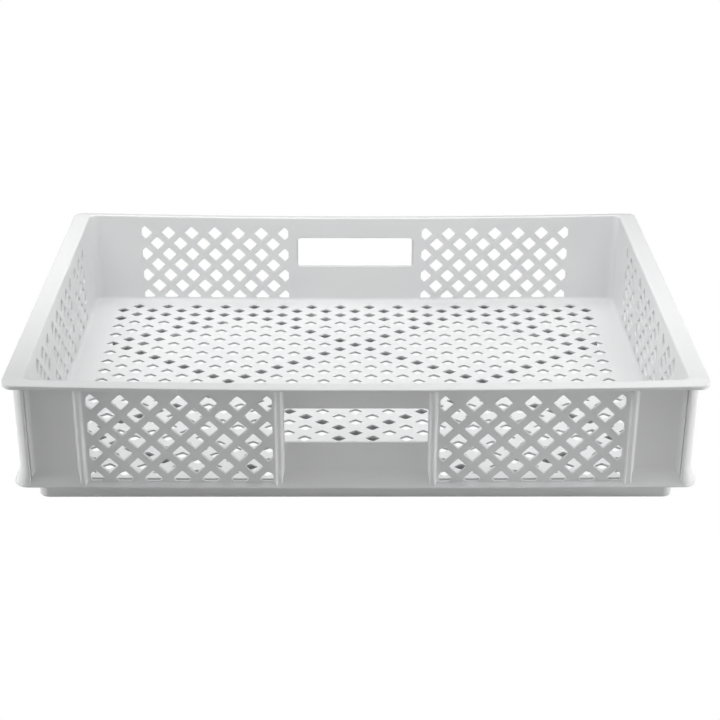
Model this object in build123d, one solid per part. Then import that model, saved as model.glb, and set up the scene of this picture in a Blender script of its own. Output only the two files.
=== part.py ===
from build123d import *
import math
import os

# Open stacking tray for chicks and eggs, injection moulded in one shot from natural polyethylene.
# The long sides face -Y and +Y. The origin is the middle of the footprint, on the ground.
# The moulding is written as its zones: each zone is one solid and meets its neighbours face to face.

# Overall size
length = 600.0
width = 400.0
height = 120.0

# Plastic
wall = 3.0
floor_thickness = 2.5
inner_corner = 8.0                  # upright inner corners, in plan

# Stacking foot
foot_height = 17.5
foot_clearance = 4.0                # free play of a foot inside the rim of the tray below
foot_skirt = 3.0
foot_flange = 12.0                  # how far the bottom flange reaches inwards, skirt included
foot_flange_thickness = 3.0
foot_corner = 9.0
foot_edge = 2.5                     # round on the bottom outer edge

# Rim
rim_reach_ends = 17.0               # flange width on the short sides
rim_reach_sides = 10.0              # flange width on the long sides
rim_corner = 10.0
rim_thickness = 3.5
rim_fall = 2.1                      # the long flanges fall this much towards their outer edge
lip_thickness = 3.0
lip_drop = 0.7                      # lip below the flange, in the middle of each side
lip_drop_corner = 2.3               # lip below the flange, around the corners
lip_corner_arm = 148.5              # how far the deep lip runs from each corner

# Ledge at the foot of the walls
ledge_inset = 2.0                   # the ledge stays this much inside the rim
ledge_corner = 13.0
ledge_edge_height = 2.0
ledge_slope_height = 2.5
ledge_top_overhang = 0.8            # what is left of the ledge at the top of its slope

# Corner posts and upright ribs, both proud of the walls
proud = 3.0
proud_ends = 6.0
post_round = 10.0
post_flare_height = 14.5
post_flare_gap = 0.8                # the flared post stops this far inside the ledge edge
rib_width = 5.5
rib_round = 1.2

# Openings in the walls
grip_width = 125.6
grip_height = 33.0
grip_below_rim = 24.5               # from the top of the tray to the top of the hand-hole
grip_round_top = 4.5
grip_round_low = 3.0
grip_to_rib = 3.2                   # from the edge of the hand-hole to the middle of its rib
end_rib_from_end = 63.0             # middle of the outer rib, from the end of the tray
rib_to_mesh = 6.0                   # from the middle of a rib to the edge of its mesh
outer_rib_to_mesh = 7.0
mesh_pitch = 25.0
mesh_hole = 11.2                    # side of one square hole
mesh_round = 1.2
mesh_below_rim = 19.8               # from the top of the tray to the middle of the first row
mesh_edge_trim = 4.0                # the outer columns are cut this far past their middle
mesh_above_floor = 2.5
short_mesh_half = 54.0              # half of the middle mesh of a short side
short_bar = 18.0                    # solid bar between the meshes of a short side

# Floor grid
floor_pitch_x = 31.3
floor_pitch_y = 20.5
floor_hole_x = 13.6
floor_hole_y = 11.0
floor_margin_ends = 25.5
floor_margin_sides = 9.0

# Big diamond ribs under the floor
under_rib = 2.2
under_rib_lift = 4.0                # from the ground to the lower edge of the ribs
under_rib_cells = 8                 # half pitches of the grid across half a diamond

# Worked out
inner_x = length / 2 - rim_reach_ends
inner_y = width / 2 - rim_reach_sides
outer_x = inner_x + wall
outer_y = inner_y + wall
outer_corner = inner_corner + wall
floor_top = foot_height + floor_thickness
rim_bottom = height - rim_thickness
foot_x = inner_x - foot_clearance
foot_y = inner_y - foot_clearance
post_x = outer_x + proud_ends
post_y = outer_y + proud
ledge_x = length / 2 - ledge_inset
ledge_y = width / 2 - ledge_inset
ledge_slope_z = foot_height + ledge_edge_height
ledge_top = ledge_slope_z + ledge_slope_height
mesh_low = floor_top + mesh_above_floor
mesh_high = rim_bottom - mesh_above_floor
grip_high = height - grip_below_rim
grip_low = grip_high - grip_height

sides = {"front": 0, "right": 90, "rear": 180, "left": 270}
corners = {"front_left": (-1, -1), "front_right": (1, -1), "rear_right": (1, 1), "rear_left": (-1, 1)}


def plan(half_x, half_y, radius, z=0.0):
    return Pos(0, 0, z) * RectangleRounded(2 * half_x, 2 * half_y, radius)


def slab(half_x, half_y, radius, low, high):
    return extrude(plan(half_x, half_y, radius, low), amount=high - low)


def block(x0, x1, y0, y1, z0, z1):
    box = Box(x1 - x0, y1 - y0, z1 - z0)
    return Pos((x0 + x1) / 2, (y0 + y1) / 2, (z0 + z1) / 2) * box


def one(shape):
    """The single solid that a zone has to be."""
    solids = shape.solids()
    if len(solids) != 1:
        raise ValueError(f"a zone came out as {len(solids)} solids")
    return solids[0]


def quarters():
    """The four quarters of the plan, one for each side, cut at 45 degrees through the corners."""
    middle = inner_x - inner_y
    far = length
    outlines = {"front": [(-middle, 0), (middle, 0), (middle + far, -far), (-middle - far, -far)],
                "rear": [(-middle, 0), (middle, 0), (middle + far, far), (-middle - far, far)],
                "right": [(middle, 0), (middle + far, -far), (middle + far, far)],
                "left": [(-middle, 0), (-middle - far, -far), (-middle - far, far)]}
    return {side: extrude(make_face(Polyline(*points, close=True)), amount=height, dir=(0, 0, 1))
            for side, points in outlines.items()}


def clip(points, low, high, axis):
    """Cut a convex outline back to low..high along one axis, unless the cut would only graze a corner."""
    for limit, sign in ((low, 1), (high, -1)):
        if max(sign * (limit - point[axis]) for point in points) < mesh_round:
            continue
        kept = []
        for here, there in zip(points, points[1:] + points[:1]):
            a = sign * (here[axis] - limit)
            b = sign * (there[axis] - limit)
            if a >= 0:
                kept.append(here)
            if a * b < 0:
                t = a / (a - b)
                kept.append((here[0] + t * (there[0] - here[0]), here[1] + t * (there[1] - here[1])))
        points = kept
    return points


def pierced_plate(u0, u1, z0, z1, holes):
    """A flat face with holes, each given by its corners."""
    frame = Polyline((u0, z0), (u1, z0), (u1, z1), (u0, z1), close=True)
    wires = [Wire(FilletPolyline(*points, radius=mesh_round, close=True).edges()) for points in holes]
    return Face(Wire(frame.edges()), wires)


def mesh_holes(centre, half_window):
    """Square holes standing on a corner, in staggered rows, cut off at the edges of their window."""
    reach = mesh_hole / math.sqrt(2)
    columns = int((half_window - mesh_edge_trim + 0.001) // mesh_pitch)
    rows = int((height - mesh_below_rim - mesh_low) // (mesh_pitch / 2)) + 1
    holes = []
    for row in range(rows):
        z = height - mesh_below_rim - row * mesh_pitch / 2
        stagger = row % 2
        for step in range(2 * columns + 1 - stagger):
            u = centre + (step - columns + stagger / 2) * mesh_pitch
            diamond = [(u - reach, z), (u, z - reach), (u + reach, z), (u, z + reach)]
            diamond = clip(diamond, centre - half_window, centre + half_window, 0)
            diamond = clip(diamond, mesh_low, mesh_high, 1)
            holes.append(diamond)
    return holes


def stand_up(face, inner):
    """Turn a face drawn in length and height into a wall plate of the side that faces -Y."""
    return extrude(Plane.XZ.offset(inner) * face, amount=wall, dir=(0, -1, 0))


def upright_rib(side, middle, outer, reach):
    """A vertical rib with rounded edges, standing proud of the wall's outer face."""
    rib = block(middle - rib_width / 2, middle + rib_width / 2, -outer - reach, -outer, floor_top, rim_bottom)
    rib = fillet(rib.edges().filter_by(Axis.Z).group_by(Axis.Y)[0], rib_round)
    return Rot(0, 0, sides[side]) * rib - ledge_body


nodes = {}


def add(name, shape, side=None):
    shape = one(shape)
    if side:
        shape = Rot(0, 0, sides[side]) * shape
    nodes[name] = shape


# Floor grid: staggered diamonds, moulded through the plate that the walls stand on
def floor_grid():
    outline = Wire(plan(outer_x, outer_y, outer_corner, foot_height).edges())
    rows = int((inner_y - floor_margin_sides - floor_hole_y / 2) // (floor_pitch_y / 2))
    span = inner_x - floor_margin_ends - floor_hole_x / 2
    holes = []
    for row in range(-rows, rows + 1):
        y = row * floor_pitch_y / 2
        stagger = abs(row) % 2
        columns = int((span - stagger * floor_pitch_x / 2) // floor_pitch_x)
        for step in range(-columns - stagger, columns + 1):
            x = (step + stagger / 2) * floor_pitch_x
            rhombus = Polyline((x - floor_hole_x / 2, y, foot_height), (x, y - floor_hole_y / 2, foot_height),
                               (x + floor_hole_x / 2, y, foot_height), (x, y + floor_hole_y / 2, foot_height),
                               close=True)
            holes.append(Wire(rhombus.edges()))
    return extrude(Face(outline, holes), amount=floor_thickness, dir=(0, 0, 1))


add("floor_grid", floor_grid())


# Under the floor, ribs run along the grid between its holes and make two big diamonds on each long side
def diamond_ribs(sign):
    half_x = under_rib_cells * floor_pitch_x / 2
    half_y = under_rib_cells * floor_pitch_y / 2
    middle_y = sign * (half_y + floor_pitch_y / 2)
    grow = under_rib / 2 * math.hypot(half_x, half_y) / half_y
    shape = None
    for middle_x in (-half_x, half_x):
        rings = []
        for scale in (1 + grow / half_x, 1 - grow / half_x):
            a = half_x * scale
            b = half_y * scale
            rings.append(make_face(Polyline((middle_x - a, middle_y), (middle_x, middle_y - b),
                                            (middle_x + a, middle_y), (middle_x, middle_y + b), close=True)))
        ring = rings[0] - rings[1]
        shape = ring if shape is None else shape + ring
    ribs = extrude(Pos(0, 0, under_rib_lift) * shape, amount=foot_height - under_rib_lift)
    return ribs & slab(foot_x - foot_skirt, foot_y - foot_skirt, foot_corner - foot_skirt, 0, foot_height)


add("underside_ribs_front", diamond_ribs(-1))
add("underside_ribs_rear", diamond_ribs(1))


# Stacking foot: a skirt with an inward flange along its bottom edge
foot_inside = slab(foot_x - foot_skirt, foot_y - foot_skirt, foot_corner - foot_skirt,
                   foot_flange_thickness, foot_height)
foot_open = slab(foot_x - foot_flange, foot_y - foot_flange, foot_skirt, 0, foot_flange_thickness)
foot_body = slab(foot_x, foot_y, foot_corner, 0, foot_height)
foot_body = fillet(foot_body.edges().group_by(Axis.Z)[0], foot_edge)
foot_body = foot_body - foot_inside - foot_open

# Base ledge: a narrow shelf outside the walls, sloping up to them
ledge_body = slab(ledge_x, ledge_y, ledge_corner, foot_height, ledge_slope_z)
ledge_body += loft([plan(ledge_x, ledge_y, ledge_corner, ledge_slope_z),
                    plan(outer_x + ledge_top_overhang, outer_y + ledge_top_overhang, outer_corner, ledge_top)],
                   ruled=True)
ledge_body -= slab(outer_x, outer_y, outer_corner, foot_height, ledge_top)

for side, quarter in quarters().items():
    add(f"stacking_foot_{side}", foot_body & quarter)
    add(f"base_ledge_{side}", ledge_body & quarter)


# Rim: a flange with a lip around its outer edge; the lip is deeper around the corners
def rim_body(drop):
    body = slab(length / 2, width / 2, rim_corner, rim_bottom, height)
    body = body - slab(inner_x, inner_y, inner_corner, rim_bottom, height)
    lip = slab(length / 2, width / 2, rim_corner, rim_bottom - drop, rim_bottom)
    lip = lip - slab(length / 2 - lip_thickness, width / 2 - lip_thickness, rim_corner - lip_thickness,
                     rim_bottom - drop, rim_bottom)
    body = body + lip
    fall = rim_fall / rim_reach_sides
    past = 1.0
    for sign in (-1, 1):
        profile = Polyline((sign * inner_y, height), (sign * (width / 2 + past), height - rim_fall - past * fall),
                           (sign * (width / 2 + past), height + past), (sign * inner_y, height + past), close=True)
        body = body - extrude(Plane.YZ * make_face(profile), amount=length, both=True)
    return body


arm_x = length / 2 - lip_corner_arm
arm_y = width / 2 - lip_corner_arm
shallow = rim_body(lip_drop)
deep = rim_body(lip_drop_corner)
for side, turn in sides.items():
    half_run = arm_x if side in ("front", "rear") else arm_y
    zone = Rot(0, 0, turn) * block(-half_run, half_run, -length, 0, 0, height)
    add(f"rim_{side}", shallow & zone)
for name, (sign_x, sign_y) in corners.items():
    zone = block(arm_x, length, arm_y, length, 0, height)
    turned = zone if sign_x > 0 else mirror(zone, about=Plane.YZ)
    turned = turned if sign_y > 0 else mirror(turned, about=Plane.XZ)
    add(f"rim_corner_{name}", deep & turned)


# Corner posts: a rounded column outside each corner of the walls, flaring out onto the ledge
def corner_post():
    corner_zone = block(inner_x - inner_corner, length, inner_y - inner_corner, width, floor_top, rim_bottom)
    column_zone = block(post_x - post_round, length, post_y - post_round, width, floor_top, rim_bottom)
    column = slab(post_x, post_y, post_round, floor_top, rim_bottom)
    flare = loft([plan(ledge_x - post_flare_gap, ledge_y - post_flare_gap, ledge_corner, ledge_slope_z),
                  plan(post_x, post_y, post_round, ledge_slope_z + post_flare_height)], ruled=True)
    shape = (slab(outer_x, outer_y, outer_corner, floor_top, rim_bottom) & corner_zone)
    shape = shape + (column & column_zone) + (flare & column_zone)
    return shape - slab(inner_x, inner_y, inner_corner, floor_top, rim_bottom) - ledge_body


post = corner_post()
for name, (sign_x, sign_y) in corners.items():
    turned = post if sign_x > 0 else mirror(post, about=Plane.YZ)
    turned = turned if sign_y > 0 else mirror(turned, about=Plane.XZ)
    add(f"corner_post_{name}", turned)


# Walls. Each is drawn as the side that faces -Y and turned to its place;
# these are the names of its two ends after the turn
ends = {"front": ("left", "right"), "right": ("front", "rear"), "rear": ("right", "left"), "left": ("rear", "front")}


def wall_zone(name, side, inner, u0, u1, holes=()):
    add(f"{side}_{name}", stand_up(pierced_plate(u0, u1, floor_top, rim_bottom, holes), inner), side)


def mirrored(points, sign):
    return [(sign * u, z) for u, z in points][::sign]


def wall_ends(side, inner, outer, reach, rib_out, zone_start, window_start):
    """On both ends of a wall: the outer mesh, the rib beside it and the plain panel up to the corner post."""
    window_end = rib_out - outer_rib_to_mesh
    panel_start = rib_out + rib_width / 2
    panel_end = (inner_x if side in ("front", "rear") else inner_y) - inner_corner
    holes = mesh_holes((window_start + window_end) / 2, (window_end - window_start) / 2)
    for end, sign in zip(ends[side], (-1, 1)):
        mesh_zone = sorted((sign * zone_start, sign * panel_start))
        end_zone = sorted((sign * panel_start, sign * panel_end))
        wall_zone(f"mesh_{end}", side, inner, *mesh_zone, [mirrored(points, sign) for points in holes])
        wall_zone(f"end_panel_{end}", side, inner, *end_zone)
        add(f"{side}_rib_{end}", upright_rib(side, sign * rib_out, outer, reach))


def grip_edge(edge, far, radius):
    """The plain wall above or below the hand-hole, with the hand-hole's rounded corners."""
    half = grip_width / 2
    turn = math.copysign(radius, edge - far)
    tip = edge + turn
    slack = radius * (1 - math.sqrt(0.5))
    outline = [Line((-half, far), (-half, tip)),
               ThreePointArc((-half, tip), (-half + slack, edge + math.copysign(slack, turn)), (-half + radius, edge)),
               Line((-half + radius, edge), (half - radius, edge)),
               ThreePointArc((half - radius, edge), (half - slack, edge + math.copysign(slack, turn)), (half, tip)),
               Line((half, tip), (half, far)),
               Line((half, far), (-half, far))]
    return Face(Wire([line.edge() for line in outline]))


def long_wall(side):
    rib_in = grip_width / 2 + grip_to_rib
    rib_out = length / 2 - end_rib_from_end
    wall_ends(side, inner_y, outer_y, proud, rib_out, grip_width / 2, rib_in + rib_to_mesh)
    add(f"{side}_grip_bar", stand_up(grip_edge(grip_high, rim_bottom, grip_round_top), inner_y), side)
    add(f"{side}_lower_panel", stand_up(grip_edge(grip_low, floor_top, grip_round_low), inner_y), side)
    for end, sign in zip(ends[side], (-1, 1)):
        add(f"{side}_grip_rib_{end}", upright_rib(side, sign * rib_in, outer_y, proud))


def short_wall(side):
    rib_out = width / 2 - end_rib_from_end
    middle_zone = short_mesh_half + short_bar / 2
    wall_ends(side, inner_x, outer_x, proud_ends, rib_out, middle_zone, short_mesh_half + short_bar)
    wall_zone("mesh_middle", side, inner_x, -middle_zone, middle_zone, mesh_holes(0, short_mesh_half))


for side in ("front", "rear"):
    long_wall(side)
for side in ("right", "left"):
    short_wall(side)

for name, shape in nodes.items():
    print(f"{name:28s} {shape.volume / 1000:8.2f} cm3  valid {shape.is_valid}")

os.makedirs("parts", exist_ok=True)
for name, shape in nodes.items():
    export_step(shape, f"parts/{name}.step")
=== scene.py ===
import math
import bmesh
import bpy
from mathutils import Euler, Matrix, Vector
from mathutils.geometry import delaunay_2d_cdt


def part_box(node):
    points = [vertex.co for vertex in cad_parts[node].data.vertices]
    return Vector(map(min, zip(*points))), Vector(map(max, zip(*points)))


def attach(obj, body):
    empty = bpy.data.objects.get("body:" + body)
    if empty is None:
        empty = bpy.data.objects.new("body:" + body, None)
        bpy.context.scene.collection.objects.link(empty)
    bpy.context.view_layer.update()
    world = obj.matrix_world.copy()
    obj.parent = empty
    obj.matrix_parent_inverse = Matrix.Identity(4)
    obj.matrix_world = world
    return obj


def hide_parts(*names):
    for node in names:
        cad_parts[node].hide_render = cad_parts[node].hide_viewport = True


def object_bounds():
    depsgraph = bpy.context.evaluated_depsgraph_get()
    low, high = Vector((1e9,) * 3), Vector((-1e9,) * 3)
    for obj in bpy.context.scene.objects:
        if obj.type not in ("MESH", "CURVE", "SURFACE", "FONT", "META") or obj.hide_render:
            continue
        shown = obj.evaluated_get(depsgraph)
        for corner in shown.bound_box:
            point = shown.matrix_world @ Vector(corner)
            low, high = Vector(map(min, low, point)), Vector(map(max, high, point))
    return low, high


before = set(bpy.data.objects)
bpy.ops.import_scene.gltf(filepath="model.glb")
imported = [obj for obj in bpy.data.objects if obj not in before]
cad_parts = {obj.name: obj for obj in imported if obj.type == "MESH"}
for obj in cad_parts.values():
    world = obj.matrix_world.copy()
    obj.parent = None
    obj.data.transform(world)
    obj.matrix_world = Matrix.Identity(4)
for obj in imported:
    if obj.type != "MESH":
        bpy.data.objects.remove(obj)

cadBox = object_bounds()
mm = 0.001
signOf = {"left": -1, "right": 1, "front": -1, "rear": 1}
print("frame loaded:", len(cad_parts), "zones")

# Faces of the moulding, read from the zones of the frame
halfLength, halfWidth, rimTop = cadBox[1]
innerX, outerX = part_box("right_mesh_middle")[0].x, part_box("right_mesh_middle")[1].x
innerY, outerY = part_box("rear_mesh_left")[0].y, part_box("rear_mesh_left")[1].y
floorTop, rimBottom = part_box("rear_mesh_left")[0].z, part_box("rear_mesh_left")[1].z
wallThickness = outerX - innerX
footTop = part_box("floor_grid")[0].z
footX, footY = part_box("stacking_foot_right")[1].x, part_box("stacking_foot_rear")[1].y
ledgeX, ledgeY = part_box("base_ledge_right")[1].x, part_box("base_ledge_rear")[1].y
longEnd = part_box("rear_end_panel_right")[1].x       # where the corner posts begin
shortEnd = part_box("right_end_panel_rear")[1].y
innerCorner = innerX - longEnd
armX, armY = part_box("rim_rear")[1].x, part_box("rim_right")[1].y


def middleOf(node, axis):
    low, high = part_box(node)
    return (low[axis] + high[axis]) / 2


gripRib = middleOf("front_grip_rib_right", 0)
outerRib = middleOf("front_rib_right", 0)
shortRib = middleOf("right_rib_rear", 1)

# A wide thin tray sinks a little between its corners as it cools and with use
sag = {
    "atRim": 3.6 * mm,
    "floorShare": 0.45,
}


def settle(x, y, z):
    along = max(0.0, 1 - (x / innerX) ** 2)
    share = sag["floorShare"]
    if z < floorTop:
        part = share * max(z, 0) / floorTop
    else:
        part = share + (1 - share) * (z - floorTop) / (rimTop - floorTop)
    return x, y, z - sag["atRim"] * along * part


def hexColour(text):
    channels = [int(text[i:i + 2], 16) / 255 for i in (0, 2, 4)]
    linear = [c / 12.92 if c <= 0.04045 else ((c + 0.055) / 1.055) ** 2.4 for c in channels]
    return (*linear, 1.0)


def addNode(tree, kind, settings=None, **links):
    node = tree.nodes.new(kind)
    for key, value in (settings or {}).items():
        if isinstance(key, int) or key in node.inputs:
            node.inputs[key].default_value = value
        else:
            setattr(node, key, value)
    for key, source in links.items():
        socket = int(key[1:]) if key[1:].isdigit() else key.replace("_", " ")
        tree.links.new(source, node.inputs[socket])
    return node


# High-density polyethylene, undyed, injection moulded: a milky satin white with a broad soft shine.
# Spark-eroded mould grain dulls the walls, handling polishes the rim, and stacking scuffs the foot.
polyethylene = {
    "colour": "E4E4E4",
    "cloud": "DCDDDE",          # faint clouds where the melt cooled slower
    "scuff": "BDBEBE",
    "cloudSize": 80 * mm,
    "waveSize": 14 * mm,        # a thin wall is never quite flat
    "grainSize": 0.8 * mm,      # mould grain is about 0.1 mm, drawn coarser so that it shows
    "waveDepth": 0.2 * mm,
    "grainDepth": 0.04 * mm,
    "scuffRun": (14.0, 40.0, 260.0),    # along the tray, as trays are slid over each other
    "scuffFrom": 0.58,          # where scuffs begin and are full in the noise
    "scuffFull": 0.74,
    "ior": 1.54,
}


def makePolyethylene(name, roughness, scuffs, grain):
    material = bpy.data.materials.new(name)
    material.use_nodes = True
    tree = material.node_tree
    tree.nodes.clear()
    place = addNode(tree, "ShaderNodeTexCoord").outputs["Object"]
    cloud = addNode(tree, "ShaderNodeTexNoise", {"Scale": 1 / polyethylene["cloudSize"], "Detail": 3.0},
                    Vector=place)
    wave = addNode(tree, "ShaderNodeTexNoise", {"Scale": 1 / polyethylene["waveSize"], "Detail": 1.0},
                   Vector=place)
    fine = addNode(tree, "ShaderNodeTexNoise", {"Scale": 1 / polyethylene["grainSize"], "Detail": 2.0},
                   Vector=place)
    stretch = addNode(tree, "ShaderNodeMapping", {"Scale": polyethylene["scuffRun"]}, Vector=place)
    scratch = addNode(tree, "ShaderNodeTexNoise", {"Scale": 5.0, "Detail": 6.0, "Roughness": 0.7},
                      Vector=stretch.outputs["Vector"])
    scuffed = addNode(tree, "ShaderNodeMapRange", {"From Min": polyethylene["scuffFrom"], "To Max": scuffs,
                                                   "From Max": polyethylene["scuffFull"]},
                      Value=scratch.outputs["Fac"])
    milky = addNode(tree, "ShaderNodeMix", {"data_type": "RGBA", 6: hexColour(polyethylene["colour"]),
                                            7: hexColour(polyethylene["cloud"])}, i0=cloud.outputs["Fac"])
    colour = addNode(tree, "ShaderNodeMix", {"data_type": "RGBA", 7: hexColour(polyethylene["scuff"])},
                     i0=scuffed.outputs["Result"], i6=milky.outputs[2])
    patchy = addNode(tree, "ShaderNodeMapRange", {"To Min": roughness - 0.05, "To Max": roughness + 0.07},
                     Value=cloud.outputs["Fac"])
    rough = addNode(tree, "ShaderNodeMath", {"operation": "ADD", "use_clamp": True},
                    i0=patchy.outputs["Result"], i1=scuffed.outputs["Result"])
    waviness = addNode(tree, "ShaderNodeBump", {"Strength": 0.15, "Distance": polyethylene["waveDepth"]},
                       Height=wave.outputs["Fac"])
    grained = addNode(tree, "ShaderNodeBump", {"Strength": grain, "Distance": polyethylene["grainDepth"]},
                      Height=fine.outputs["Fac"], Normal=waviness.outputs["Normal"])
    shader = addNode(tree, "ShaderNodeBsdfPrincipled", {"IOR": polyethylene["ior"]},
                     Base_Color=colour.outputs[2], Roughness=rough.outputs["Value"],
                     Normal=grained.outputs["Normal"])
    addNode(tree, "ShaderNodeOutputMaterial", Surface=shader.outputs["BSDF"])
    return material


wallPlastic = makePolyethylene("grained moulded polyethylene", roughness=0.42, scuffs=0.05, grain=0.35)
rimPlastic = makePolyethylene("handled moulded polyethylene", roughness=0.4, scuffs=0.12, grain=0.2)
footPlastic = makePolyethylene("scuffed moulded polyethylene", roughness=0.5, scuffs=0.35, grain=0.4)
print("polyethylene ready")


weld = 0.002 * mm           # points closer than this are one
sharpFrom = math.radians(40)


def solidFrom(points, faces):
    work = bmesh.new()
    corners = [work.verts.new(p) for p in points]
    for face in faces:
        work.faces.new([corners[i] for i in face])
    bmesh.ops.remove_doubles(work, verts=work.verts, dist=weld)
    bmesh.ops.recalc_face_normals(work, faces=work.faces)
    return work


def finishPiece(name, work, material, nodes=()):
    for vertex in work.verts:
        vertex.co = settle(*vertex.co)
    mesh = bpy.data.meshes.new(name)
    work.to_mesh(mesh)
    work.free()
    mesh.materials.append(material)
    mesh.shade_smooth()
    mesh.set_sharp_from_angle(angle=sharpFrom)
    piece = bpy.data.objects.new(name, mesh)
    bpy.context.collection.objects.link(piece)
    shading = piece.modifiers.new("even shading", "WEIGHTED_NORMAL")
    shading.keep_sharp = True
    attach(piece, "root")
    if nodes:
        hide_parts(*nodes)


def steps(start, end, count):
    return [start + (end - start) * i / count for i in range(count + 1)]


def sweep(rings):
    # rings of equal length, each joined to the next, and a cap on both ends
    count = len(rings[0])
    points = [p for ring in rings for p in ring]
    faces = []
    for start in range(0, len(points) - count, count):
        for i in range(count):
            j = (i + 1) % count
            faces.append((start + i, start + j, start + count + j, start + count + i))
    faces.append(tuple(range(count)))
    faces.append(tuple(range(len(points) - count, len(points))))
    return points, faces


def arcPoints(centreA, centreB, radius, first, last, count):
    angles = [math.radians(a) for a in steps(first, last, count)]
    return [(centreA + radius * math.cos(a), centreB + radius * math.sin(a)) for a in angles]


# A rounded rectangle is (half length, half width, corner radius). A place on it is an angle on a corner arc,
# or a share of the straight run from a start to that arc, with the signs of its corner.
def onRectangle(rectangle, place):
    halfX, halfY, radius = rectangle
    kind, value, start, signX, signY = place
    if kind == "arc":
        x = halfX - radius + radius * math.cos(value)
        y = halfY - radius + radius * math.sin(value)
    elif kind == "alongX":
        x, y = start + (halfX - radius - start) * value, halfY
    else:
        x, y = halfX, start + (halfY - radius - start) * value
    return signX * x, signY * y


def grow(rectangle, distance):
    halfX, halfY, radius = rectangle
    return halfX + distance, halfY + distance, max(radius + distance, 0.5 * mm)


def between(first, second, part):
    return tuple(a + (b - a) * part for a, b in zip(first, second))


stations = {
    "gap": 1 * mm,              # on each side of a rib, where the foot of the wall changes its shape
    "pastLongRib": 18 * mm,     # the last one before the corner
    "pastShortRib": 23 * mm,
}


def sideStations(side):
    # from the middle of a side towards its corner
    gap = stations["gap"]
    if side in ("front", "rear"):
        inside = steps(0, gripRib - gap, 5) + steps(gripRib + gap, outerRib - gap, 14)
        return inside + steps(outerRib + gap, outerRib + stations["pastLongRib"], 2)
    return steps(0, shortRib - gap, 8) + steps(shortRib + gap, shortRib + stations["pastShortRib"], 2)


def wholeSide(side, arcSteps):
    # from the middle of one corner arc to the middle of the next
    sign = signOf[side]
    along, last = ("alongX", math.pi / 2) if side in ("front", "rear") else ("alongY", 0)

    def place(kind, value, start, half):
        return (kind, value, start, half, sign) if along == "alongX" else (kind, value, start, sign, half)

    arc = steps(math.pi / 4, last, arcSteps)
    places = [place("arc", a, 0.0, -1) for a in arc]
    run = sideStations(side)
    places += [place(along, 0.0, u, -1) for u in reversed(run[1:])]
    places += [place(along, 0.0, u, 1) for u in run]
    return places + [place("arc", a, 0.0, 1) for a in reversed(arc)]


def ringsOf(places, profile):
    return [[(*onRectangle(rectangle, place), z) for rectangle, z in profile] for place in places]


rim = {
    "corner": 10 * mm,
    "lip": 3 * mm,              # thickness of the lip
    "topRound": 0.9 * mm,
    "innerRound": 1.8 * mm,
    "lipRound": 0.8 * mm,
    "fall": 2.1 * mm,           # the long flanges fall this much outwards
    "flatPoints": (0.35, 0.65),     # shares of the flange's width
}


def rimRings(places, lipBottom):
    outer = (halfLength, halfWidth, rim["corner"])
    inner = (innerX, innerY, innerCorner)
    e, t, r, lip = rim["innerRound"], rim["topRound"], rim["lipRound"], rim["lip"]
    profile = [(inner, rimBottom)]
    profile += [(grow(inner, e + a), rimTop - e + b) for a, b in arcPoints(0, 0, e, 180, 90, 3)]
    profile += [(between(inner, outer, part), rimTop) for part in rim["flatPoints"]]
    profile += [(grow(outer, a - t), rimTop - t + b) for a, b in arcPoints(0, 0, t, 90, 0, 4)]
    fallsUpTo = len(profile)
    profile += [(grow(outer, a - r), lipBottom + r + b) for a, b in arcPoints(0, 0, r, 0, -90, 3)]
    profile += [(grow(outer, a + r - lip), lipBottom + r + b) for a, b in arcPoints(0, 0, r, 270, 180, 2)]
    profile += [(grow(outer, -lip), rimBottom)]
    rings = []
    for ring in ringsOf(places, profile):
        fallen = []
        for i, (x, y, z) in enumerate(ring):
            out = min(max((abs(y) - innerY) / (halfWidth - innerY), 0), 1) if 0 < i < fallsUpTo else 0
            fallen.append((x, y, z - rim["fall"] * out))
        rings.append(fallen)
    return rings


def rimCorner(signX, signY):
    places = [("alongX", t, armX, signX, signY) for t in steps(0, 1, 12)]
    places += [("arc", a, 0.0, signX, signY) for a in steps(math.pi / 2, 0, 8)[1:]]
    places += [("alongY", t, armY, signX, signY) for t in steps(1, 0, 8)[1:]]
    return rimRings(places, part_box("rim_corner_rear_right")[0].z)


def rimSide(side):
    sign = signOf[side]
    if side in ("front", "rear"):
        places = [("alongX", 0.0, x, 1, sign) for x in steps(-armX, armX, 24)]
    else:
        places = [("alongY", 0.0, y, sign, 1) for y in steps(-armY, armY, 6)]
    return rimRings(places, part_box("rim_rear")[0].z)


for side in signOf:
    work = solidFrom(*sweep(rimSide(side)))
    finishPiece(f"rim_{side}_edge", work, rimPlastic, [f"rim_{side}"])
for row in ("front", "rear"):
    for column in ("left", "right"):
        work = solidFrom(*sweep(rimCorner(signOf[column], signOf[row])))
        finishPiece(f"rim_{row}_{column}_corner", work, rimPlastic, [f"rim_corner_{row}_{column}"])
print("rim made")


base = {
    "ledgeCorner": 13 * mm,
    "ledgeEdge": 2 * mm,        # height of its upright edge
    "ledgeRound": 0.9 * mm,
    "ledgeBevel": 0.3 * mm,     # on its upper edge
    "ledgeSunk": 0.5 * mm,      # how far it goes into the wall
    "coveRise": 15 * mm,        # the plain walls spread gently onto the ledge
    "coveBend": 1.7,            # 1 is straight, more is a deeper hollow
    "meshRise": 2.2 * mm,       # under the meshes there is room only for a narrow shelf
    "meshBend": 1.2,
    "footCorner": 9 * mm,
    "footRound": 2.5 * mm,
    "skirt": 3 * mm,
    "flange": 12 * mm,
    "flangeThickness": 3 * mm,
    "flangeRound": 1 * mm,
    "floorCove": 4 * mm,        # between the floor and the walls, inside
    "coveSunk": 0.4 * mm,
}


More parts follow.
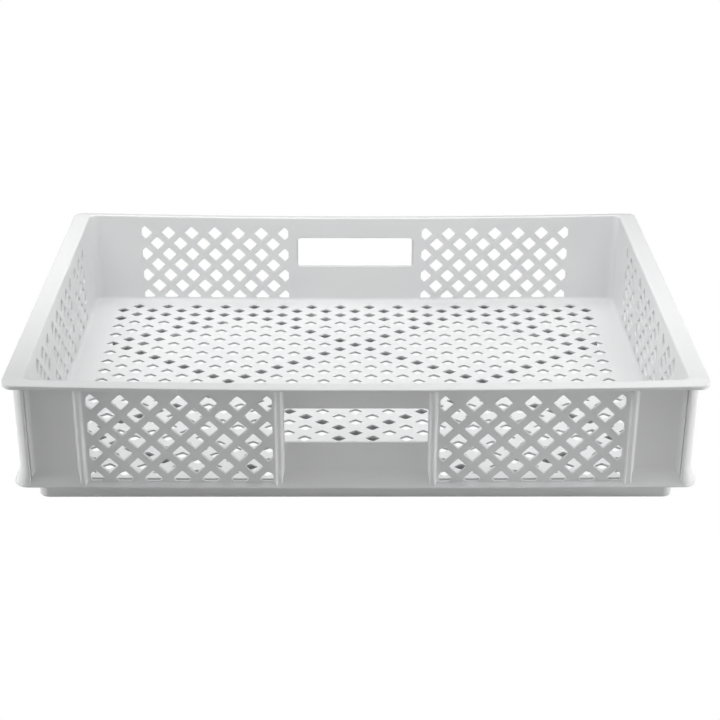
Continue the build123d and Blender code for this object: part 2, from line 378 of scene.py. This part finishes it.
def ledgeProfile(rise, bend):
    outer = (ledgeX, ledgeY, base["ledgeCorner"])
    wall = (outerX, outerY, innerCorner + wallThickness)
    inWall = grow(wall, -base["ledgeSunk"])
    r = base["ledgeRound"]
    top = footTop + base["ledgeEdge"]
    profile = [(inWall, footTop)]
    profile += [(grow(outer, a - r), footTop + r + b) for a, b in arcPoints(0, 0, r, 270, 360, 3)]
    nose = grow(outer, -base["ledgeBevel"])
    profile.append((nose, top))
    for part in steps(0, 1, 8)[1:]:
        profile.append((between(wall, nose, (1 - part) ** bend), top + rise * part))
    return profile + [(inWall, top + rise)]


def ledgeRings(side, places):
    rings = []
    for place in places:
        x, y = onRectangle((ledgeX, ledgeY, base["ledgeCorner"]), place)
        if side in ("front", "rear"):
            underMesh = gripRib < abs(x) < outerRib
        else:
            underMesh = abs(y) < shortRib
        kind = "mesh" if underMesh else "cove"
        rings += ringsOf([place], ledgeProfile(base[kind + "Rise"], base[kind + "Bend"]))
    return rings


def footProfile():
    outer = (footX, footY, base["footCorner"])
    r, q, skirt, flange = base["footRound"], base["flangeRound"], base["skirt"], base["flange"]
    top = base["flangeThickness"]
    profile = [(outer, footTop)]
    profile += [(grow(outer, a - r), r + b) for a, b in arcPoints(0, 0, r, 0, -90, 6)]
    profile += [(grow(outer, a + q - flange), q + b) for a, b in arcPoints(0, 0, q, 270, 180, 2)]
    profile += [(grow(outer, -flange), top), (grow(outer, -skirt - q), top)]
    return profile + [(grow(outer, -skirt), top + q), (grow(outer, -skirt), footTop)]


def coveProfile():
    # fills the inner edge between the floor and the wall, with its back sunk into both
    inner = (innerX, innerY, innerCorner)
    r = base["floorCove"]
    profile = [(grow(inner, -a), floorTop + b) for a, b in arcPoints(r, r, r, 180, 270, 5)]
    sunk = base["coveSunk"]
    return profile + [(grow(inner, -r), floorTop - sunk), (grow(inner, sunk), floorTop - sunk),
                      (grow(inner, sunk), floorTop + r)]


for side in signOf:
    places = wholeSide(side, 6)
    work = solidFrom(*sweep(ledgeRings(side, places)))
    finishPiece(f"{side}_ledge", work, footPlastic, [f"base_ledge_{side}"])
    work = solidFrom(*sweep(ringsOf(places, footProfile())))
    finishPiece(f"{side}_foot", work, footPlastic, [f"stacking_foot_{side}"])
    work = solidFrom(*sweep(ringsOf(places, coveProfile())))
    finishPiece(f"{side}_floor_cove", work, wallPlastic)
print("ledge, foot and floor cove made")


def roundedLoop(corners, radii, push, arcSteps):
    # a convex outline given anticlockwise by its sharp corners: corners rounded, the whole pushed outwards
    loop = []
    count = len(corners)
    for i in range(count):
        before, here, after = (Vector(corners[(i + k) % count]) for k in (-1, 0, 1))
        into = (here - before).normalized()
        away = (after - here).normalized()
        normalIn = Vector((into.y, -into.x))
        normalOut = Vector((away.y, -away.x))
        outwards = (normalIn + normalOut).normalized()
        centre = here - outwards * (radii[i] / outwards.dot(normalIn))
        first = math.atan2(normalIn.y, normalIn.x)
        turn = math.acos(max(-1.0, min(1.0, normalIn.dot(normalOut))))
        for angle in steps(first, first + turn, arcSteps):
            loop.append(centre + Vector((math.cos(angle), math.sin(angle))) * (radii[i] + push))
    return loop


def piercedPlate(outline, holes, thickness, toSpace, arcSteps, roundSteps):
    # each hole is (corners, corner radii, edge round). Both faces are triangulated between the outline and
    # the holes, and the wall of each hole is rounded over into both faces.
    flat = [Vector(p) for p in outline]
    loops = [list(range(len(flat)))]
    for corners, radii, edgeRound in holes:
        wide = roundedLoop(corners, radii, edgeRound, arcSteps)
        loops.append(list(range(len(flat), len(flat) + len(wide))))
        flat += wide
    edges = [edge for loop in loops for edge in zip(loop, loop[1:] + loop[:1])]
    vertices, _, triangles, origins, _, _ = delaunay_2d_cdt(flat, edges, [], 0, 1e-7)
    lookup = {old: new for new, olds in enumerate(origins) for old in olds}
    loopOf = {lookup[index]: number for number, loop in enumerate(loops) for index in loop}
    shift = len(vertices)
    points = [toSpace(v.x, v.y, depth) for depth in (0.0, thickness) for v in vertices]
    faces = []
    for triangle in triangles:
        owners = {loopOf[v] for v in triangle}
        if len(owners) > 1 or 0 in owners:      # the others lie inside a hole
            faces += [tuple(triangle), tuple(v + shift for v in triangle)]
    edge = [lookup[i] for i in loops[0]]
    faces += [(a, b, b + shift, a + shift) for a, b in zip(edge, edge[1:] + edge[:1])]
    for (corners, radii, edgeRound), loop in zip(holes, loops[1:]):
        levels = [(edgeRound * (1 - math.sin(a)), edgeRound * (1 - math.cos(a)))
                  for a in steps(0, math.pi / 2, roundSteps)]
        levels += [(push, thickness - depth) for push, depth in reversed(levels)]
        rows = [[lookup[i] for i in loop]]
        for push, depth in levels[1:-1]:
            start = len(points)
            points += [toSpace(p.x, p.y, depth) for p in roundedLoop(corners, radii, push, arcSteps)]
            rows.append(list(range(start, len(points))))
        rows.append([lookup[i] + shift for i in loop])
        for upper, lower in zip(rows, rows[1:]):
            faces += [(a, b, d, c) for a, b, c, d in
                      zip(upper, upper[1:] + upper[:1], lower, lower[1:] + lower[:1])]
    return points, faces


def cutBack(corners, low, high, axis, graze):
    # the part of a convex outline between low and high, unless the cut would only graze a corner
    for limit, sign in ((low, 1), (high, -1)):
        if max(sign * (limit - corner[axis]) for corner in corners) < graze:
            continue
        kept = []
        for here, there in zip(corners, corners[1:] + corners[:1]):
            a = sign * (here[axis] - limit)
            b = sign * (there[axis] - limit)
            if a >= 0:
                kept.append(here)
            if a * b < 0:
                t = a / (a - b)
                kept.append((here[0] + t * (there[0] - here[0]), here[1] + t * (there[1] - here[1])))
        corners = kept
    return corners


walls = {
    "pitch": 25 * mm,
    "holeSide": 11.2 * mm,
    "cornerRound": 1.2 * mm,
    "edgeRound": 0.5 * mm,      # the holes are rounded over into both faces
    "firstRow": 19.8 * mm,      # from the top of the rim to the middle of the first row
    "trim": 4 * mm,             # the outer columns are cut this far past their middle
    "aboveFloor": 2.5 * mm,
    "ribToMesh": 6 * mm,
    "outerRibToMesh": 7 * mm,
    "shortMeshHalf": 54 * mm,
    "shortBar": 18 * mm,
    "station": 12 * mm,         # spacing of points along the long edges, so that they can sag
}
grip = {
    "roundTop": 4.5 * mm,
    "roundLow": 3 * mm,
    "edgeRound": 1.2 * mm,
}


def meshHoles(centre, halfWindow):
    reach = walls["holeSide"] / math.sqrt(2)
    bottom = floorTop + walls["aboveFloor"]
    top = rimTop - walls["firstRow"]
    cornerRound = walls["cornerRound"]
    columns = int((halfWindow - walls["trim"] + 0.001 * mm) // walls["pitch"])
    rows = int((top - bottom) // (walls["pitch"] / 2)) + 1
    holes = []
    for row in range(rows):
        z = top - row * walls["pitch"] / 2
        stagger = row % 2
        for step in range(2 * columns + 1 - stagger):
            u = centre + (step - columns + stagger / 2) * walls["pitch"]
            corners = [(u - reach, z), (u, z - reach), (u + reach, z), (u, z + reach)]
            corners = cutBack(corners, centre - halfWindow, centre + halfWindow, 0, cornerRound)
            corners = cutBack(corners, bottom, rimBottom, 1, cornerRound)
            holes.append((corners, [cornerRound] * len(corners), walls["edgeRound"]))
    return holes


def meshWindow(start, end):
    # the same mesh on both halves of a wall
    half = (end - start) / 2
    return meshHoles(start + half, half) + meshHoles(-start - half, half)


def wallPlate(halfRun, holes, toSpace):
    along = steps(-halfRun, halfRun, round(2 * halfRun / walls["station"]))
    outline = [(u, floorTop) for u in along] + [(u, rimBottom) for u in reversed(along)]
    return solidFrom(*piercedPlate(outline, holes, wallThickness, toSpace, 3, 3))


def cutZone(name, whole, nodes, limits):
    # one zone out of a whole wall; limits are (axis, value, True to keep what lies above)
    zone = whole.copy()
    for axis, value, keepAbove in limits:
        point, normal = Vector(), Vector()
        point[axis] = value
        normal[axis] = 1
        bmesh.ops.bisect_plane(zone, geom=zone.verts[:] + zone.edges[:] + zone.faces[:], dist=0.001 * mm,
                               plane_co=point, plane_no=normal, clear_inner=keepAbove,
                               clear_outer=not keepAbove)
        bmesh.ops.holes_fill(zone, edges=[e for e in zone.edges if e.is_boundary])
    bmesh.ops.recalc_face_normals(zone, faces=zone.faces)
    finishPiece(name, zone, wallPlastic, nodes)


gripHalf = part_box("front_mesh_right")[0].x
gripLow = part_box("front_lower_panel")[1].z - grip["roundLow"]
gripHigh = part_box("front_grip_bar")[0].z + grip["roundTop"]


def longWall(side):
    sign = signOf[side]
    holes = meshWindow(gripRib + walls["ribToMesh"], outerRib - walls["outerRibToMesh"])
    corners = [(-gripHalf, gripLow), (gripHalf, gripLow), (gripHalf, gripHigh), (-gripHalf, gripHigh)]
    radii = [grip["roundLow"]] * 2 + [grip["roundTop"]] * 2
    holes.append((corners, radii, grip["edgeRound"]))
    whole = wallPlate(longEnd, holes, lambda u, z, depth: (u, sign * (outerY - depth), z))
    halfway = (gripLow + gripHigh) / 2
    middle = [(0, -gripRib, True), (0, gripRib, False)]     # the zones meet behind the ribs
    cutZone(f"{side}_grip_bar_rounded", whole, [f"{side}_grip_bar"], middle + [(2, halfway, True)])
    cutZone(f"{side}_lower_panel_rounded", whole, [f"{side}_lower_panel"], middle + [(2, halfway, False)])
    for end in ("left", "right"):
        out = signOf[end]
        zone = [(0, out * gripRib, out > 0), (0, out * outerRib, out < 0)]
        cutZone(f"{side}_diamond_mesh_{end}", whole, [f"{side}_mesh_{end}"], zone)
        zone = [(0, out * outerRib, out > 0)]
        cutZone(f"{side}_plain_end_{end}", whole, [f"{side}_end_panel_{end}"], zone)
    whole.free()


def shortWall(side):
    sign = signOf[side]
    window = walls["shortMeshHalf"]
    barMiddle = window + walls["shortBar"] / 2
    holes = meshHoles(0, window) + meshWindow(window + walls["shortBar"], shortRib - walls["outerRibToMesh"])
    whole = wallPlate(shortEnd, holes, lambda u, z, depth: (sign * (outerX - depth), u, z))
    cutZone(f"{side}_diamond_mesh_middle", whole, [f"{side}_mesh_middle"],
            [(1, -barMiddle, True), (1, barMiddle, False)])
    for end in ("front", "rear"):
        out = signOf[end]
        zone = [(1, out * barMiddle, out > 0), (1, out * shortRib, out < 0)]
        cutZone(f"{side}_diamond_mesh_{end}", whole, [f"{side}_mesh_{end}"], zone)
        zone = [(1, out * shortRib, out > 0)]
        cutZone(f"{side}_plain_end_{end}", whole, [f"{side}_end_panel_{end}"], zone)
    whole.free()


longWall("front")
longWall("rear")
shortWall("left")
shortWall("right")
print("walls made")


ribs = {
    "width": 4.4 * mm,
    "round": 1.5 * mm,
    "fillet": 2.2 * mm,         # hollow round between the rib and the wall
    "footHeight": 12 * mm,      # each rib spreads a little where it runs down onto the ledge
    "footSpread": 1.0 * mm,
    "sunk": 0.4 * mm,           # how far it goes into the wall
}


def ribRing(middle, outer, reach, z, toSpace):
    low = max(0.0, 1 - (z - floorTop) / ribs["footHeight"]) ** 2 * ribs["footSpread"]
    half = ribs["width"] / 2 + low
    r = ribs["round"]
    out = outer + reach + low
    f = ribs["fillet"]
    ring = [(middle - half - f, outer - ribs["sunk"]), (middle + half + f, outer - ribs["sunk"])]
    ring += arcPoints(middle + half + f, outer + f, f, 270, 180, 4)
    ring += arcPoints(middle + half - r, out - r, r, 0, 90, 4)
    ring += arcPoints(middle - half + r, out - r, r, 90, 180, 4)
    ring += arcPoints(middle - half - f, outer + f, f, 360, 270, 4)
    return [(*toSpace(u, v), z) for u, v in ring]


def uprightRib(name, node, middle, outer, reach, toSpace):
    spread = steps(floorTop, floorTop + ribs["footHeight"], 6)
    rings = [ribRing(middle, outer, reach, z, toSpace) for z in spread + [rimBottom]]
    finishPiece(name, solidFrom(*sweep(rings)), wallPlastic, [node])


for side in ("front", "rear"):
    sign = signOf[side]
    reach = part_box("rear_rib_right")[1].y - outerY
    for end in ("left", "right"):
        for kind, middle in (("grip_rib", gripRib), ("rib", outerRib)):
            uprightRib(f"{side}_rounded_{kind}_{end}", f"{side}_{kind}_{end}", signOf[end] * middle, outerY,
                       reach, lambda u, v: (u, sign * v))
for side in ("left", "right"):
    sign = signOf[side]
    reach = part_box("right_rib_rear")[1].x - outerX
    for end in ("front", "rear"):
        uprightRib(f"{side}_rounded_rib_{end}", f"{side}_rib_{end}", signOf[end] * shortRib, outerX, reach,
                   lambda u, v: (sign * v, u))
print("ribs made")


post = {
    "round": 10 * mm,
    "proud": 3 * mm,            # on the long sides
    "proudEnds": 6 * mm,        # on the short sides
    "flareHeight": 17.5 * mm,
    "flareBend": 1.6,           # more keeps the flare nearer to the ledge
    "flareGap": 0.8 * mm,       # the flare stops this far inside the edge of the ledge
    "edgeRound": 1.4 * mm,
    "edgeInset": 0.3,           # share of that round at its middle point
    "hollow": 4.6 * mm,         # width of the hollow between the post and the wall
    "hollowRise": 1.7 * mm,
    "hollowBend": 1.8,
    "groove": 0.8 * mm,         # fine groove where the hollow meets the post
}


def postHollow():
    # from the wall up to the foot of the flank, as distances from that foot
    width, rise, groove = post["hollow"], post["hollowRise"], post["groove"]
    points = [(groove + width * (1 - part), rise * part ** post["hollowBend"]) for part in steps(0, 1, 5)]
    bed = 0.2 * rise
    return points + [(0.8 * groove, bed), (0.2 * groove, bed), (0, 0.5 * rise)]


def postRing(z, signX, signY):
    flareTop = footTop + base["ledgeEdge"] + post["flareHeight"]
    flare = min(1.0, max(0.0, (flareTop - z) / post["flareHeight"])) ** post["flareBend"]
    column = (outerX + post["proudEnds"], outerY + post["proud"], post["round"])
    spread = (ledgeX - post["flareGap"], ledgeY - post["flareGap"], base["ledgeCorner"])
    halfX, halfY, radius = between(column, spread, flare)
    flankX, flankY = column[0] - post["round"], column[1] - post["round"]     # the flanks stay upright
    centreX, centreY = halfX - radius, halfY - radius
    e = post["edgeRound"]
    inset = post["edgeInset"] * e
    hollow = postHollow()
    first = math.acos(max(0.0, flankX + e - centreX) / radius)
    last = math.asin(max(0.0, flankY + e - centreY) / radius)
    ring = arcPoints(longEnd, shortEnd, innerCorner, 0, 90, 6)
    ring += [(longEnd, outerY)] + [(flankX - away, outerY + out) for away, out in hollow]
    ring += [(flankX, halfY - e), (flankX + inset, halfY - inset)]
    ring += [(centreX + radius * math.cos(a), centreY + radius * math.sin(a))
             for a in steps(first, last, 10)]
    ring += [(halfX - inset, flankY + inset), (halfX - e, flankY)]
    ring += [(outerX + out, flankY - away) for away, out in reversed(hollow)] + [(outerX, shortEnd)]
    return [(signX * x, signY * y, z) for x, y in ring]


heights = steps(floorTop, footTop + base["ledgeEdge"] + post["flareHeight"], 10) + [rimBottom]
for row in ("front", "rear"):
    for column in ("left", "right"):
        rings = [postRing(z, signOf[column], signOf[row]) for z in heights]
        finishPiece(f"{row}_{column}_flared_post", solidFrom(*sweep(rings)), wallPlastic,
                    [f"corner_post_{row}_{column}"])
print("corner posts made")


grid = {
    "pitchX": 31.3 * mm,
    "pitchY": 20.5 * mm,
    "holeX": 13.6 * mm,
    "holeY": 11 * mm,
    "marginEnds": 25.5 * mm,
    "marginSides": 9 * mm,
    "sideRound": 0.5 * mm,      # the sharp corners of a hole
    "bluntRound": 2.2 * mm,     # its two wide corners
    "edgeRound": 0.5 * mm,
    "ribThickness": 2.2 * mm,
    "ribLift": 4 * mm,
    "ribCells": 8,              # half pitches of the grid across half a big diamond
    "ribEdge": 0.5 * mm,
}


def floorHoles():
    rows = int((innerY - grid["marginSides"] - grid["holeY"] / 2) // (grid["pitchY"] / 2))
    span = innerX - grid["marginEnds"] - grid["holeX"] / 2
    holes = []
    for row in range(-rows, rows + 1):
        y = row * grid["pitchY"] / 2
        stagger = abs(row) % 2
        columns = int((span - stagger * grid["pitchX"] / 2) // grid["pitchX"])
        for step in range(-columns - stagger, columns + 1):
            x = (step + stagger / 2) * grid["pitchX"]
            a, b = grid["holeX"] / 2, grid["holeY"] / 2
            rounds = [grid["sideRound"], grid["bluntRound"]] * 2
            holes.append(([(x - a, y), (x, y - b), (x + a, y), (x, y + b)], rounds, grid["edgeRound"]))
    return holes


def floorOutline():
    plate = (outerX, outerY, innerCorner + wallThickness)
    outline = []
    for side in ("front", "right", "rear", "left"):
        run = [onRectangle(plate, place) for place in wholeSide(side, 4)]
        outline += (run if side in ("front", "right") else run[::-1])[:-1]
    return outline


floorPlate = piercedPlate(floorOutline(), floorHoles(), floorTop - footTop,
                          lambda x, y, depth: (x, y, floorTop - depth), 2, 2)
finishPiece("floor_grid_rounded", solidFrom(*floorPlate), wallPlastic, ["floor_grid"])


def bigDiamonds(side):
    # two diamonds of upright ribs under the floor, each a closed band round its four corners
    halfX, halfY = grid["ribCells"] * grid["pitchX"] / 2, grid["ribCells"] * grid["pitchY"] / 2
    middleY = signOf[side] * (halfY + grid["pitchY"] / 2)
    thick, e = grid["ribThickness"] / 2, grid["ribEdge"]
    profile = [(-thick, footTop), (-thick, grid["ribLift"] + e), (e - thick, grid["ribLift"]),
               (thick - e, grid["ribLift"]), (thick, grid["ribLift"] + e), (thick, footTop)]
    stretch = math.hypot(halfX, halfY) / halfY      # from a distance square to the rib to one along X
    points, faces = [], []
    for middleX in (-halfX, halfX):
        first = len(points)
        for turn in range(4):
            for part in steps(0, 1, 8)[:-1]:
                ends = [(math.cos(a), math.sin(a)) for a in (turn * math.pi / 2, (turn + 1) * math.pi / 2)]
                x, y = between(ends[0], ends[1], part)
                for push, z in profile:
                    scale = 1 + push * stretch / halfX
                    points.append((middleX + x * halfX * scale, middleY + y * halfY * scale, z))
        rows = list(range(first, len(points), len(profile)))
        for here, there in zip(rows, rows[1:] + rows[:1]):
            for i in range(len(profile)):
                j = (i + 1) % len(profile)
                faces.append((here + i, here + j, there + j, there + i))
    work = solidFrom(points, faces)
    finishPiece(f"{side}_big_diamond_ribs", work, wallPlastic, [f"underside_ribs_{side}"])


bigDiamonds("front")
bigDiamonds("rear")
print("floor made")


studio = {
    "floorHalf": 12.0,
    "floorDrop": 0.3 * mm,      # just under the foot
    "floorGrey": "DADADA",      # what the floor throws back onto the tray
    "sky": 0.23,
    "white": 1.0,               # floor and surroundings as they are looked at
    "overRear": 2.65,           # the lights, in watts
    "overTray": 1.65,
    "sides": 2.2,
    "frontLeft": 0.46,
    "frontRight": 0.42,
    "fill": 4.4,
}


def softLight(name, place, aim, width, height, power, spread=180):
    # a spread below 180 degrees keeps the light off what lies beside its aim
    light = bpy.data.lights.new(name, "AREA")
    light.shape = "RECTANGLE"
    light.size, light.size_y = width, height
    light.energy = power
    light.spread = math.radians(spread)
    lamp = bpy.data.objects.new(name, light)
    lamp.location = place
    lamp.rotation_euler = (Vector(aim) - Vector(place)).to_track_quat("-Z", "Y").to_euler()
    lamp.visible_camera = False
    bpy.context.collection.objects.link(lamp)


def studioFloor():
    # matt paper: burnt out to plain white when looked at, grey in what it throws back
    half = studio["floorHalf"]
    mesh = bpy.data.meshes.new("studio_floor")
    mesh.from_pydata([(-half, -half, 0), (half, -half, 0), (half, half, 0), (-half, half, 0)], [],
                     [(0, 1, 2, 3)])
    material = bpy.data.materials.new("matt white paper")
    material.use_nodes = True
    tree = material.node_tree
    tree.nodes.clear()
    paper = addNode(tree, "ShaderNodeBsdfDiffuse", {"Color": hexColour(studio["floorGrey"])})
    burnt = addNode(tree, "ShaderNodeEmission", {"Strength": studio["white"]})
    seen = addNode(tree, "ShaderNodeLightPath").outputs["Is Camera Ray"]
    both = addNode(tree, "ShaderNodeMixShader", i0=seen, i1=paper.outputs[0], i2=burnt.outputs[0])
    addNode(tree, "ShaderNodeOutputMaterial", Surface=both.outputs[0])
    mesh.materials.append(material)
    floor = bpy.data.objects.new("studio_floor", mesh)
    floor.location.z = -studio["floorDrop"]
    bpy.context.collection.objects.link(floor)


def studioSurround():
    world = bpy.data.worlds.new("studio")
    world.use_nodes = True
    tree = world.node_tree
    seen = addNode(tree, "ShaderNodeLightPath").outputs["Is Camera Ray"]
    strength = addNode(tree, "ShaderNodeMapRange", {"To Min": studio["sky"], "To Max": studio["white"]},
                       Value=seen)
    background = tree.nodes["Background"]
    background.inputs["Color"].default_value = hexColour("FFFFFF")
    tree.links.new(strength.outputs["Result"], background.inputs["Strength"])
    bpy.context.scene.world = world


studioFloor()
studioSurround()
softLight("softbox over the rear wall", (0, 0.26, 0.75), (0, 0.26, 0), 1.4, 0.3, studio["overRear"])
softLight("softbox over the tray", (-0.05, -0.1, 0.55), (0, 0.14, 0.04), 1.3, 0.3, studio["overTray"], 115)
for sign, power in ((-1, studio["frontLeft"]), (1, studio["frontRight"])):
    softLight("softbox at the side", (sign * 0.9, 0.2, 1.3), (0, 0, 0.1), 1.2, 0.8, studio["sides"])
    softLight("softbox at the front corner", (sign * 1.3, -0.3, 0.2), (0, -0.25, 0.06), 0.22, 0.4, power, 36)
softLight("softbox in front on the right", (1.5, -1.8, 0.35), (0, -0.2, 0.05), 0.8, 0.6, studio["fill"])
bpy.context.scene.view_settings.view_transform = "Standard"

viewpoint = {
    "place": (-0.0053, -1.3468, 0.7224),
    "down": 24.13,              # degrees
    "turn": -0.406,
    "roll": 0.193,
    "lens": 76.9,               # mm
    "sensor": 36,
    "shiftY": -0.1,
}
lens = bpy.data.cameras.new("camera")
lens.lens = viewpoint["lens"]
lens.sensor_width = viewpoint["sensor"]
lens.shift_y = viewpoint["shiftY"]
camera = bpy.data.objects.new("camera", lens)
camera.location = viewpoint["place"]
look = Euler((math.radians(90 - viewpoint["down"]), 0, math.radians(viewpoint["turn"])), "XYZ").to_matrix()
roll = Euler((0, 0, math.radians(viewpoint["roll"])), "XYZ").to_matrix()
camera.rotation_euler = (look @ roll).to_euler()
bpy.context.collection.objects.link(camera)
bpy.context.scene.camera = camera
print("studio and camera ready")
